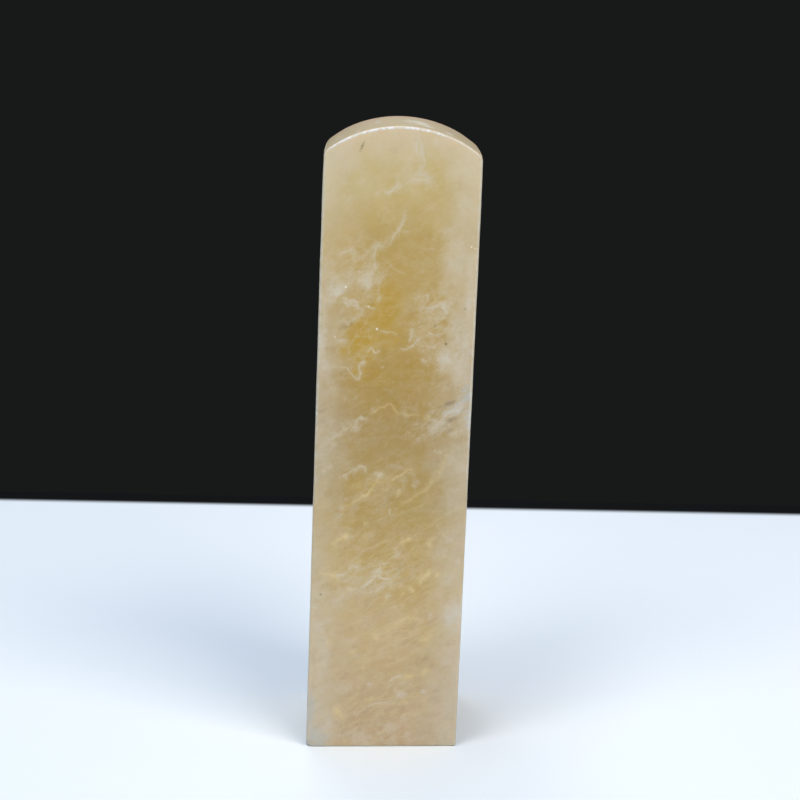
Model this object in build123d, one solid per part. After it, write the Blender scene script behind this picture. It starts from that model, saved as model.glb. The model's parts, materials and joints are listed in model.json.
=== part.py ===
"""A square seal stone with an arched crown, standing on its ground foot.

The object is one piece of stone. It is a square prism whose top is a shallow
barrel arch across the width. The foot, which is the face that would be carved
and inked, is ground flat but a little off square, so the prism leans to the
right when the stone stands on it.

Row frame: millimetres, +Z up, -Y towards the viewer, +X to the viewer's right.
The origin is the middle of the foot.
"""
from build123d import *
import math
import os

# Driving sizes of the stone, in millimetres, and one angle in degrees.
side_width = 25.0          # across the front face, between the left and right sides
side_depth = 25.0          # from the front face to the back face
stone_length = 102.8       # along the prism's own axis, from the foot to the top of the crown
crown_radius = 20.4        # of the barrel arch across the top
shoulder_radius = 1.5      # where the crown turns down into the left and right sides
edge_radius = 0.45         # of the long upright edges and of the crown's front and back edges
foot_edge_radius = 0.4     # of the arris round the foot, broken a little less than the other edges
foot_off_square = 2.2      # degrees between the foot's normal and the prism's axis

# One overrun for the cut that makes the foot.
cut_overrun = 2.0


def crown_spring_height(width, length, radius):
    """Height along the axis at which the crown's arc meets the sides."""
    return length - radius + math.sqrt(radius**2 - (width / 2) ** 2)


def stone_outline(width, length, radius, shoulder, below):
    """The front outline in the prism's own axes: X across, Y along the axis.

    It runs a length below the foot, to be cut off later, and its two
    shoulders are already rounded, so that the rim is one smooth line.
    """
    half = width / 2
    spring = crown_spring_height(width, length, radius)
    left_side = Line((-half, spring), (-half, -below))
    blank_end = Line((-half, -below), (half, -below))
    right_side = Line((half, -below), (half, spring))
    crown = ThreePointArc((half, spring), (0, length), (-half, spring))
    face = make_face([left_side, blank_end, right_side, crown])
    shoulders = face.vertices().sort_by(Axis.Y)[-2:]
    return fillet(shoulders, shoulder)


def leaning_prism(lean):
    """The outline carried from the front face to the back face, then leant to the right."""
    below_foot = cut_overrun + side_width * math.tan(math.radians(abs(lean)))
    outline = stone_outline(
        side_width, stone_length, crown_radius, shoulder_radius, below_foot
    )
    prism = extrude(Plane.XZ * outline, amount=side_depth / 2, both=True)
    return Rot(Y=lean) * prism


def grind_foot(prism):
    """Cuts the prism off at the level of the foot, Z = 0."""
    return split(prism, bisect_by=Plane.XY, keep=Keep.TOP)


def polish_edges(stone):
    """Rounds the front and back rims, then the arris round the foot."""
    front_and_back = stone.faces().filter_by(Axis.Y)
    rims = [
        edge
        for face in front_and_back
        for edge in face.edges()
        if edge.center().Z > foot_edge_radius
    ]
    stone = fillet(rims, edge_radius)
    foot = stone.faces().sort_by(Axis.Z)[0]
    return fillet(foot.edges(), foot_edge_radius)


def main():
    seal_stone = polish_edges(grind_foot(leaning_prism(foot_off_square)))
    os.makedirs("parts", exist_ok=True)
    export_step(seal_stone, "parts/seal_stone.step")
    print("seal_stone volume in mm3:", round(seal_stone.volume, 1))
    print("seal_stone box in mm:", seal_stone.bounding_box())


main()
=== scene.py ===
# %% [markdown]
# # A blank seal of honey-coloured soapstone
# The object is one bar of polished stone with an arched top. The CAD model
# already says how large it is and how it stands. This lesson gives it its
# looks: a dense polished skin, the colour zones and pale veins of the stone,
# and the light that shows them.
#
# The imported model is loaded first. It is the frame that every piece fits, so
# nothing here is placed by eye.

# %% Load the frame
import json
import math

import bpy
import numpy as np
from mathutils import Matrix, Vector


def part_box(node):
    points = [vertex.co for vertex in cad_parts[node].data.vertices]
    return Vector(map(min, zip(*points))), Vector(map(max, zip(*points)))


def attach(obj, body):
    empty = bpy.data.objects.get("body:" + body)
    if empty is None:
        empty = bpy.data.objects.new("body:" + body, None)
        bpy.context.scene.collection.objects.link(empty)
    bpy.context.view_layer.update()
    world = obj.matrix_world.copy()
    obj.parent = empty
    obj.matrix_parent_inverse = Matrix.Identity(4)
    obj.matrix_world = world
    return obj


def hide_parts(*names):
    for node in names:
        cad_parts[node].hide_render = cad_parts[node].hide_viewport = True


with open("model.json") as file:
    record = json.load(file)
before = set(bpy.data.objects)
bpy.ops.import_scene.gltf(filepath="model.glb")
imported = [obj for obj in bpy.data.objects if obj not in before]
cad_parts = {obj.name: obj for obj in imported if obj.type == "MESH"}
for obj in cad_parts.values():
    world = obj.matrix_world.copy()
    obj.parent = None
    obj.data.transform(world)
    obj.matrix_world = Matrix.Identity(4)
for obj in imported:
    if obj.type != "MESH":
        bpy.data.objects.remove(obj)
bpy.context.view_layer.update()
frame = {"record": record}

MM = 0.001

# %% [markdown]
# ## The camera
# The camera stands where the photograph's camera stood. Its place and its two
# angles come from fitting the outline of the stone. It isn't rolled, because
# the stone itself leans. A long lens keeps the bar's sides nearly parallel.

# %% Set up the camera
PICTURE_SIDE = 800
SENSOR_WIDTH = 36.0
FOCAL_LENGTH_PIXELS = 1862.0
CLIP_START = 10 * MM
CAMERA_PLACE = np.array([1.1, -303.85, 123.1]) * MM
CAMERA_PITCH = math.radians(12.36)
CAMERA_YAW = math.radians(0.42)

lens = bpy.data.cameras.new("camera")
lens.sensor_width = SENSOR_WIDTH
lens.lens = FOCAL_LENGTH_PIXELS / PICTURE_SIDE * SENSOR_WIDTH
lens.clip_start = CLIP_START
camera = bpy.data.objects.new("camera", lens)
camera.location = CAMERA_PLACE
camera.rotation_euler = (math.pi / 2 - CAMERA_PITCH, 0, -CAMERA_YAW)
bpy.context.scene.collection.objects.link(camera)
bpy.context.scene.camera = camera
bpy.context.scene.view_settings.view_transform = "Standard"
print("lens in mm:", round(lens.lens, 2))

# %% [markdown]
# ## From the picture to the stone
# The veins of a stone are its fingerprint, so they are laid where the
# photograph shows them. A pixel is a line of sight. Where that line meets the
# plane of the front face, or of the table, is its place on the real thing.

# %% Follow a pixel to a plane
SIGHT = np.array([
    math.sin(CAMERA_YAW) * math.cos(CAMERA_PITCH),
    math.cos(CAMERA_YAW) * math.cos(CAMERA_PITCH),
    -math.sin(CAMERA_PITCH),
])
SIGHT_RIGHT = np.array([math.cos(CAMERA_YAW), -math.sin(CAMERA_YAW), 0.0])
SIGHT_UP = np.cross(SIGHT_RIGHT, SIGHT)


def pixels_on_plane(pixels, axis, level):
    """Where the lines of sight of some pixels meet a plane square to one axis.

    A line of sight is forward + right * (x - 400) / focal + up * (400 - y) / focal,
    and it is stretched until its coordinate along the axis equals the level.
    """
    pixels = np.atleast_2d(np.asarray(pixels, float))
    aside = (pixels - PICTURE_SIDE / 2) / FOCAL_LENGTH_PIXELS
    rays = SIGHT + aside[:, :1] * SIGHT_RIGHT - aside[:, 1:] * SIGHT_UP
    reach = (level - CAMERA_PLACE[axis]) / rays[:, axis]
    return CAMERA_PLACE + rays * reach[:, None]


# %% [markdown]
# ## The bar's own axes
# The foot was ground a little off square, so the bar leans to the right. Its
# own axes are read from the record: the normal of the right face points
# across the bar, and the line square to that runs along it.

# %% Read the bar's size and lean from the frame
mounts = {mount["name"]: mount for mount in frame["record"]["mounts"]}
ACROSS = np.array(mounts["side_right"]["axis"], float)
ALONG = np.array([-ACROSS[2], 0.0, ACROSS[0]])
LEAN = math.asin(ALONG[0])
HALF_WIDTH = float(np.dot(mounts["side_right"]["pos_m"], ACROSS))
HALF_DEPTH = float(mounts["side_back"]["pos_m"][1])
_, high_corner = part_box("seal_stone")
print("half width", round(HALF_WIDTH / MM, 3), "half depth", round(HALF_DEPTH / MM, 3),
      "lean in degrees", round(math.degrees(LEAN), 3))


def to_bar(points):
    """Row-frame points in the bar's axes, in millimetres: across, depth, along."""
    points = np.asarray(points, float) / MM
    return np.stack([points @ ACROSS, points[..., 1], points @ ALONG], axis=-1)


def on_front(pixels):
    """Places on the front face, in millimetres across and along the bar, for some pixels."""
    return to_bar(pixels_on_plane(pixels, 1, -HALF_DEPTH))[:, [0, 2]]


# %% [markdown]
# ## The outline
# Seen from the front, the stone is a few arcs with straight lines between
# them: two small arcs at the foot, two shoulders and the arch of the crown.
# Only the arcs need a formula. A straight line is the gap from one arc's end
# to the next arc's start, divided evenly. Each point also carries the
# direction that faces outwards there, because the rims are rounded along it.

# %% Size the arcs from the frame
CROWN_RADIUS = 20.4 * MM
SHOULDER_RADIUS = 1.5 * MM
EDGE_RADIUS = 0.45 * MM
FOOT_EDGE_RADIUS = 0.4 * MM
BAR_LENGTH = CROWN_RADIUS + (high_corner[2] - CROWN_RADIUS) / math.cos(LEAN)
print("length along the bar in mm:", round(BAR_LENGTH / MM, 2))

FOOT_ARC_STEPS = 6
SHOULDER_STEPS = 8
CROWN_STEPS = 72
FOOT_STEPS = CROWN_STEPS + SHOULDER_STEPS - FOOT_ARC_STEPS
SIDE_STEPS = 292


def arc(centre, radius, start, end, steps):
    """Points centre + radius * (cos, sin) for evenly spaced angles, and their outward directions."""
    angles = np.linspace(start, end, steps + 1)
    outward = np.stack([np.cos(angles), np.sin(angles)], axis=1)
    return np.asarray(centre) + radius * outward, outward


def straight(start, end, outward, steps):
    """The points inside a straight gap, evenly spaced, all facing the same way."""
    share = np.linspace(0, 1, steps + 1)[1:-1, None]
    inside = np.asarray(start) * (1 - share) + np.asarray(end) * share
    return inside, np.repeat(np.asarray(outward)[None], len(inside), axis=0)


def bar_place(across, along):
    """A place given in the bar's axes, as X and Z of the row frame."""
    place = across * ACROSS + along * ALONG
    return place[[0, 2]]


def outline():
    """The closed outline in X and Z, counter-clockwise from the middle of the left foot arc."""
    inset = HALF_WIDTH - SHOULDER_RADIUS
    rise = math.sqrt((CROWN_RADIUS - SHOULDER_RADIUS) ** 2 - inset**2)
    arch_centre = BAR_LENGTH - CROWN_RADIUS
    turn = math.atan2(rise, inset)
    foot_inset = HALF_WIDTH - FOOT_EDGE_RADIUS
    foot_places = [(side * foot_inset + FOOT_EDGE_RADIUS * math.sin(LEAN)) / math.cos(LEAN)
                   for side in (1, -1)]
    arcs = [
        arc((foot_places[0], FOOT_EDGE_RADIUS), FOOT_EDGE_RADIUS,
            -math.pi / 2, -LEAN, FOOT_ARC_STEPS),
        arc(bar_place(inset, arch_centre + rise), SHOULDER_RADIUS,
            -LEAN, turn - LEAN, SHOULDER_STEPS),
        arc(bar_place(0, arch_centre), CROWN_RADIUS,
            turn - LEAN, math.pi - turn - LEAN, CROWN_STEPS),
        arc(bar_place(-inset, arch_centre + rise), SHOULDER_RADIUS,
            math.pi - turn - LEAN, math.pi - LEAN, SHOULDER_STEPS),
        arc((foot_places[1], FOOT_EDGE_RADIUS), FOOT_EDGE_RADIUS,
            math.pi - LEAN, 3 * math.pi / 2, FOOT_ARC_STEPS),
    ]
    foot_right, shoulder_right, crown, shoulder_left, foot_left = arcs
    half_arc = FOOT_ARC_STEPS // 2
    across = ACROSS[[0, 2]]
    stretches = [
        (foot_left[0][half_arc:], foot_left[1][half_arc:]),
        straight(foot_left[0][-1], foot_right[0][0], (0.0, -1.0), FOOT_STEPS),
        foot_right,
        straight(foot_right[0][-1], shoulder_right[0][0], across, SIDE_STEPS),
        shoulder_right,
        (crown[0][1:-1], crown[1][1:-1]),
        shoulder_left,
        straight(shoulder_left[0][-1], foot_left[0][0], -across, SIDE_STEPS),
        (foot_left[0][:half_arc], foot_left[1][:half_arc]),
    ]
    points, outward = (np.concatenate(part) for part in zip(*stretches))
    return points, outward


ring, ring_outward = outline()
print("points round the outline:", len(ring))

# %% [markdown]
# ## The skin
# The outline is carried from the front face to the back face. At each end it
# shrinks along a quarter circle, which rounds the rim the way a polisher
# breaks a sharp edge. The rim is a little wider on the polished edges than at
# the foot, which is ground last.
#
# A flat face is then stretched inside each end ring. It is a Coons patch: the
# four sides of the ring are blended so that the rows and columns follow the
# arch. Every grid line meets the ring, so the skin closes without a seam.

# %% Carry the outline through the depth
RIM_STEPS = 6
BAND_STEPS = 38
FOOT_RIM_RADIUS = 0.36 * MM
RIM_GROWS_FROM = 0.5 * MM
RIM_GROWS_TO = 4.0 * MM
PANEL_ACROSS = FOOT_STEPS + FOOT_ARC_STEPS
PANEL_UP = SIDE_STEPS + (FOOT_ARC_STEPS + SHOULDER_STEPS) // 2


def smoothstep(low, high, value):
    """Rises from 0 at low to 1 at high, with level ends: 3 t^2 - 2 t^3."""
    share = np.clip((np.asarray(value, float) - low) / (high - low), 0, 1)
    return share * share * (3 - 2 * share)


def skin_strip(points, outward):
    """The rounded band between the two flat faces, as a grid of ring points by depth steps.

    Each column shrinks by rim * (1 - cos angle) and moves in from the face by
    rim * (1 - sin angle), first through the front rim, then straight back,
    then through the back rim. Also returned: the outward directions and the
    length of skin from the front face to each point.
    """
    grow = smoothstep(RIM_GROWS_FROM, RIM_GROWS_TO, points[:, 1])
    rim = (FOOT_RIM_RADIUS + (EDGE_RADIUS - FOOT_RIM_RADIUS) * grow)[:, None]
    angle = np.linspace(math.pi / 2, 0, RIM_STEPS + 1)[None]
    band = np.linspace(0, 1, BAND_STEPS + 1)[None, 1:-1]
    flat_run = 2 * (HALF_DEPTH - rim)
    shrink_front = rim * (1 - np.cos(angle))
    depth_front = -HALF_DEPTH + rim * (1 - np.sin(angle))
    flat_band = np.zeros((len(points), BAND_STEPS - 1))
    shrink = np.hstack([shrink_front, flat_band, shrink_front[:, ::-1]])
    depth = np.hstack([depth_front, -HALF_DEPTH + rim + flat_run * band, -depth_front[:, ::-1]])
    run_front = rim * (math.pi / 2 - angle)
    rim_run = rim * math.pi / 2
    run = np.hstack([run_front, rim_run + flat_run * band,
                     2 * rim_run + flat_run - run_front[:, ::-1]])
    level = np.hstack([np.cos(angle), np.ones((1, BAND_STEPS - 1)), np.cos(angle)[:, ::-1]])
    facing = np.hstack([-np.sin(angle), np.zeros((1, BAND_STEPS - 1)), np.sin(angle)[:, ::-1]])
    place = points[:, None] - outward[:, None] * shrink[..., None]
    places = np.stack([place[..., 0], depth, place[..., 1]], axis=-1)
    normals = np.stack([outward[:, :1] * level, np.repeat(facing, len(points), axis=0),
                        outward[:, 1:] * level], axis=-1)
    return places, normals, run


strip, strip_normals, strip_run = skin_strip(ring, ring_outward)
print("skin strip grid:", strip.shape[:2])


# %% Stretch the flat faces
def end_grid_indices():
    """Ring numbers round the border of a face grid, as four sides: bottom, top, left, right."""
    count = 2 * (PANEL_ACROSS + PANEL_UP)
    bottom = np.arange(PANEL_ACROSS + 1)
    right = np.arange(PANEL_ACROSS, PANEL_ACROSS + PANEL_UP + 1)
    top = np.arange(2 * PANEL_ACROSS + PANEL_UP, PANEL_ACROSS + PANEL_UP - 1, -1)
    left = np.arange(count, 2 * PANEL_ACROSS + PANEL_UP - 1, -1) % count
    return bottom, top, left, right


def coons_patch(border):
    """A grid that fills a closed border: rows blended bottom to top, columns left to right.

    patch = (1 - v) bottom + v top + (1 - u) left + u right, less the bilinear
    blend of the four corners, where u and v are shares of the real lengths.
    """
    bottom, top, left, right = (border[side] for side in end_grid_indices())
    u = ((bottom[:, 0] - bottom[0, 0]) / (bottom[-1, 0] - bottom[0, 0]))[:, None, None]
    v = ((left[:, 2] - left[0, 2]) / (left[-1, 2] - left[0, 2]))[None, :, None]
    blend = (1 - v) * bottom[:, None] + v * top[:, None] + (1 - u) * left[None] + u * right[None]
    corners = ((1 - u) * (1 - v) * bottom[0] + u * (1 - v) * bottom[-1]
               + (1 - u) * v * top[0] + u * v * top[-1])
    return blend - corners


def grid_quads(numbers):
    """Four-sided faces over a grid of vertex numbers, turning from the first to the second axis."""
    return np.stack([numbers[:-1, :-1], numbers[1:, :-1], numbers[1:, 1:], numbers[:-1, 1:]],
                    axis=-1).reshape(-1, 4)


def stone_skin():
    """All vertices, their outward directions and the faces of the closed skin."""
    rings, steps = strip.shape[:2]
    strip_numbers = np.arange(rings * steps).reshape(rings, steps)
    wrapped = np.vstack([strip_numbers, strip_numbers[:1]])
    places = [strip.reshape(-1, 3)]
    normals = [strip_normals.reshape(-1, 3)]
    quads = [grid_quads(wrapped)[:, ::-1]]
    bottom, top, left, right = end_grid_indices()
    first_free = rings * steps
    for end, facing in ((0, -1.0), (steps - 1, 1.0)):
        patch = coons_patch(strip[:, end])
        inside = patch[1:-1, 1:-1].reshape(-1, 3)
        numbers = np.zeros(patch.shape[:2], int)
        free = first_free + np.arange(len(inside))
        numbers[1:-1, 1:-1] = free.reshape(numbers[1:-1, 1:-1].shape)
        numbers[:, 0] = strip_numbers[bottom, end]
        numbers[:, -1] = strip_numbers[top, end]
        numbers[0, :] = strip_numbers[left, end]
        numbers[-1, :] = strip_numbers[right, end]
        first_free += len(inside)
        places.append(inside)
        normals.append(np.repeat([[0.0, facing, 0.0]], len(inside), axis=0))
        face_quads = grid_quads(numbers)
        quads.append(face_quads if facing < 0 else face_quads[:, ::-1])
    return np.concatenate(places), np.concatenate(normals), np.concatenate(quads)


skin, skin_normals, skin_quads = stone_skin()
print("skin vertices", len(skin), "triangles", 2 * len(skin_quads))

# %% [markdown]
# ## The hand in the finish
# A machine leaves a plane, and a hand on wet paper doesn't. The faces swell
# and dip by a few hundredths of a millimetre over a centimetre or two, which
# is what bends a reflection. The edges have picked up tiny chips. Both are
# moves of the skin along its own outward direction. The foot stays flat.

# %% Rub the faces and chip the edges
RIPPLE_HEIGHT = 0.022
RIPPLE_LENGTHS = np.array([31.0, 23.0, 17.0, 13.0, 9.0])
RIPPLE_TILTS = np.array([
    [0.9, 0.3, 0.4],
    [0.2, 0.9, 0.5],
    [0.6, 0.5, 0.8],
    [0.8, 0.6, 0.2],
    [0.4, 0.7, 0.9],
])
FLAT_FOOT_BELOW = 0.5
RUBBED_ABOVE = 2.5
SHOULDER_FULL = 0.14
SHOULDER_WORN = 0.12
SHOULDER_SPOT = (11.9, 98.6)
SHOULDER_BELL = (1.9, 2.6)
CHIP_FLOOR = 0.35
# Each chip: its pixel, its radius and its depth in millimetres.
CHIPS = {
    "right edge, upper": ((477.0, 300.0), 0.5, 0.16),
    "right edge, middle": ((475.6, 326.0), 0.35, 0.1),
    "right edge, lower": ((473.0, 371.0), 0.4, 0.1),
    "left edge, upper": ((319.2, 268.0), 0.45, 0.1),
    "left edge, grain that stands out": ((315.0, 413.5), 0.3, -0.08),
    "left edge, foot": ((305.6, 745.5), 1.1, 0.3),
}


def ripple(bar_points):
    """A sum of long sine waves in three tilted directions, in millimetres."""
    phases = bar_points @ RIPPLE_TILTS.T * (2 * math.pi / RIPPLE_LENGTHS)
    phases += np.arange(len(RIPPLE_LENGTHS))
    return RIPPLE_HEIGHT * np.mean(np.sin(phases), axis=1) * 2


def chip_depth(bar_points):
    """How far each point is sunk by the chips: a deep dish with a steep edge at each place."""
    depth = np.zeros(len(bar_points))
    for pixel, radius, sink in CHIPS.values():
        across, along = on_front([pixel])[0]
        half_width = HALF_WIDTH / MM
        spot = np.array([np.clip(across, -half_width, half_width), -HALF_DEPTH / MM, along])
        gap = np.linalg.norm(bar_points - spot, axis=1) / radius
        depth += sink * smoothstep(1.0, CHIP_FLOOR, gap)
    return depth


def shoulder_shape(bar_points):
    """Fuller in the middle of each shoulder and worn at its two ends, fading in a bell round it.

    The height of the bell is full - (full + worn) * |depth / half depth|^3.
    """
    across = (np.abs(bar_points[:, 0]) - SHOULDER_SPOT[0]) / SHOULDER_BELL[0]
    along = (bar_points[:, 2] - SHOULDER_SPOT[1]) / SHOULDER_BELL[1]
    share = np.abs(bar_points[:, 1]) / (HALF_DEPTH / MM)
    height = SHOULDER_FULL - (SHOULDER_FULL + SHOULDER_WORN) * share**3
    return height * np.exp(-across**2 - along**2)


skin_bar = to_bar(skin)
stands_clear = smoothstep(FLAT_FOOT_BELOW, RUBBED_ABOVE, skin[:, 2] / MM)
move = ripple(skin_bar) * stands_clear + shoulder_shape(skin_bar) - chip_depth(skin_bar)
skin = skin + skin_normals * (move * MM)[:, None]
print("hand finish moves the skin by", round(move.min(), 3), "to", round(move.max(), 3), "mm")


# %% Make the mesh
def mesh_piece(name, places, quads):
    """A smooth-shaded mesh object from whole arrays, lying at the origin."""
    mesh = bpy.data.meshes.new(name)
    mesh.vertices.add(len(places))
    mesh.vertices.foreach_set("co", np.ascontiguousarray(places, np.float32).ravel())
    mesh.loops.add(quads.size)
    mesh.loops.foreach_set("vertex_index", quads.ravel().astype(np.int32))
    mesh.polygons.add(len(quads))
    mesh.polygons.foreach_set("loop_start", np.arange(0, quads.size, 4, dtype=np.int32))
    mesh.polygons.foreach_set("use_smooth", np.ones(len(quads), bool))
    mesh.update(calc_edges=True)
    mesh.validate()
    piece = bpy.data.objects.new(name, mesh)
    bpy.context.scene.collection.objects.link(piece)
    return piece


stone = mesh_piece("polished_stone", skin, skin_quads)
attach(stone, "root")
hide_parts("seal_stone")
print("stone mesh:", len(stone.data.vertices), "vertices")

# %% [markdown]
# ## A map of the skin
# To draw veins that turn a corner with the stone, its four sides are unrolled
# like a label. The map has one coordinate round the bar, zero at the middle
# of the front, and one along it. The crown and the foot continue the front
# face over its top and bottom edges.

# %% Unroll the sides
def skin_map():
    """Two map coordinates in millimetres for every vertex: round the bar and along it.

    On the front face they are the bar's own across and along. On a side they
    are the front edge plus the length of skin run round it, and the back face
    carries on from there until the two ways round meet.
    """
    rings, steps = strip.shape[:2]
    edge = to_bar(strip[:, 0])
    run = strip_run / MM
    number = np.arange(rings)
    right = (number > PANEL_ACROSS) & (number < PANEL_ACROSS + PANEL_UP)
    left = number > 2 * PANEL_ACROSS + PANEL_UP
    sides = (right | left)[:, None]
    top = ((number >= PANEL_ACROSS + PANEL_UP) & (number <= 2 * PANEL_ACROSS + PANEL_UP))[:, None]
    way = np.where(left, -1.0, 1.0)[:, None]
    round_bar = np.where(sides, edge[:, :1] + way * run, edge[:, :1])
    along_bar = edge[:, 2:] + np.where(sides, 0.0, np.where(top, run, -run))
    half_round = float(np.abs(edge[:, 0]).max() * 2 + run[PANEL_ACROSS + PANEL_UP // 2, -1])
    inside = to_bar(skin[rings * steps:])
    back = inside[:, 1] > 0
    behind = half_round - np.abs(inside[:, 0])
    round_face = np.where(back, np.where(inside[:, 0] < 0, -behind, behind), inside[:, 0])
    round_all = np.concatenate([round_bar.ravel(), round_face])
    along_all = np.concatenate([along_bar.ravel(), inside[:, 2]])
    return np.stack([round_all, along_all], axis=1), half_round


skin_places, HALF_ROUND = skin_map()
print("half way round the bar in mm:", round(HALF_ROUND, 2))

# %% [markdown]
# ## Veins
# A vein in this stone is a crack that healed with paler mineral. In the
# shader it needs to be far thinner than a face of the mesh, so each vertex
# stores its signed distance to the nearest vein and the shader draws the
# line. A signed distance is straight across a vein, so it stays exact between
# vertices, where a plain distance would be blunted.
#
# The front's veins follow the photograph point by point. There are three
# sorts, kept apart so that a vein never blurs into one of another sort.

# %% Place the bright threads of the front
# Each vein: half its width in millimetres, its strength, and the pixels that it passes through.
BRIGHT_THREADS = {
    "neck": (0.23, 0.8, [(405, 209), (405, 216), (403, 223), (400, 229), (396, 233), (393, 238),
                         (391, 242), (389, 247)]),
    "neck, turned": (0.16, 0.5, [(389, 247), (383, 247), (378, 247), (375, 251), (374, 257), (375, 263),
                                 (376, 270)]),
    "neck, side": (0.15, 0.4, [(401, 232), (406, 231), (411, 232)]),
    "top, left strand": (0.16, 0.7, [(420, 133), (418, 140), (417, 148), (419, 156)]),
    "top, right strand": (0.17, 1.0, [(425, 140), (423, 146), (422, 152), (424, 159), (426, 163)]),
    "top, knot": (0.26, 0.8, [(426, 163), (423, 167), (420, 172), (425, 174), (432, 176)]),
    "upper bend": (0.18, 0.65, [(405, 185), (411, 180), (420, 180), (429, 178), (436, 175)]),
    "upper dash": (0.24, 0.4, [(424, 190), (430, 187)]),
    "upper wisp": (0.17, 0.7, [(383, 191), (389, 192), (394, 189), (398, 185), (398, 179), (397, 173)]),
    "upper wisp, tail": (0.2, 0.4, [(374, 197), (377, 193), (381, 190)]),
    "spark": (0.08, 1.0, [(364, 306), (368, 306), (372, 308), (376, 309)]),
    "core drop": (0.15, 0.75, [(414, 328), (412, 332), (411, 338), (409, 343)]),
    "core arc": (0.14, 0.5, [(378, 330), (385, 332), (393, 332), (397, 336)]),
    "core dash": (0.17, 0.8, [(427, 332), (433, 334)]),
    "core loop": (0.15, 0.6, [(399, 348), (407, 349), (413, 345), (418, 340), (420, 337)]),
    "core tail": (0.14, 0.5, [(413, 345), (422, 346), (432, 347), (437, 344), (445, 342)]),
    "small peaks": (0.14, 0.75, [(367, 353), (371, 348), (375, 353), (380, 350)]),
    "hook": (0.14, 0.65, [(331, 365), (339, 368), (346, 367), (350, 372), (354, 377), (358, 380),
                          (360, 375), (359, 368), (359, 364), (363, 361), (366, 362)]),
    "hook's strokes": (0.15, 0.45, [(381, 369), (384, 365)]),
    "long vein's start": (0.18, 0.5, [(354, 423), (358, 419), (361, 417), (365, 420), (368, 416)]),
    "middle arch": (0.15, 0.65, [(338, 479), (345, 475), (351, 471), (355, 470), (360, 466),
                                 (365, 467), (366, 471), (367, 475)]),
    "middle patch": (0.26, 0.5, [(372, 475), (378, 473), (382, 475), (378, 479), (376, 482)]),
    "right tick": (0.12, 0.5, [(434, 450), (437, 453)]),
    "right tick, second": (0.12, 0.5, [(439, 450), (442, 454)]),
    "star, far": (0.14, 0.4, [(390, 560), (396, 556), (400, 552)]),
    "star, upper": (0.15, 0.45, [(378, 570), (380, 565), (385, 563), (390, 560)]),
    "star, right": (0.15, 0.75, [(378, 574), (383, 578), (392, 579)]),
    "star, stem": (0.17, 0.74, [(378, 569), (375, 575), (372, 580), (368, 583), (365, 586), (361, 588)]),
    "star, root": (0.22, 0.45, [(358, 589), (353, 590), (345, 589)]),
    "below star": (0.17, 0.68, [(372, 591), (376, 592), (379, 589), (382, 586)]),
    "below star, left": (0.16, 0.5, [(370, 591), (373, 593)]),
    "under star": (0.2, 0.4, [(373, 602), (368, 607)]),
    "left dash": (0.24, 0.45, [(348, 567), (354, 566), (362, 565)]),
    "left whisker": (0.18, 0.65, [(336, 577), (340, 575), (346, 574)]),
    "left nick": (0.14, 0.6, [(311, 608), (317, 607)]),
    "lower sprig": (0.14, 0.65, [(388, 683), (393, 679), (398, 676), (403, 675)]),
    "lowest thread": (0.13, 0.6, [(355, 715), (362, 710), (369, 706), (376, 703), (387, 702), (395, 700)]),
    "lowest knot": (0.3, 0.65, [(353, 714), (358, 715)]),
}
print("bright threads:", len(BRIGHT_THREADS))

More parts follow.
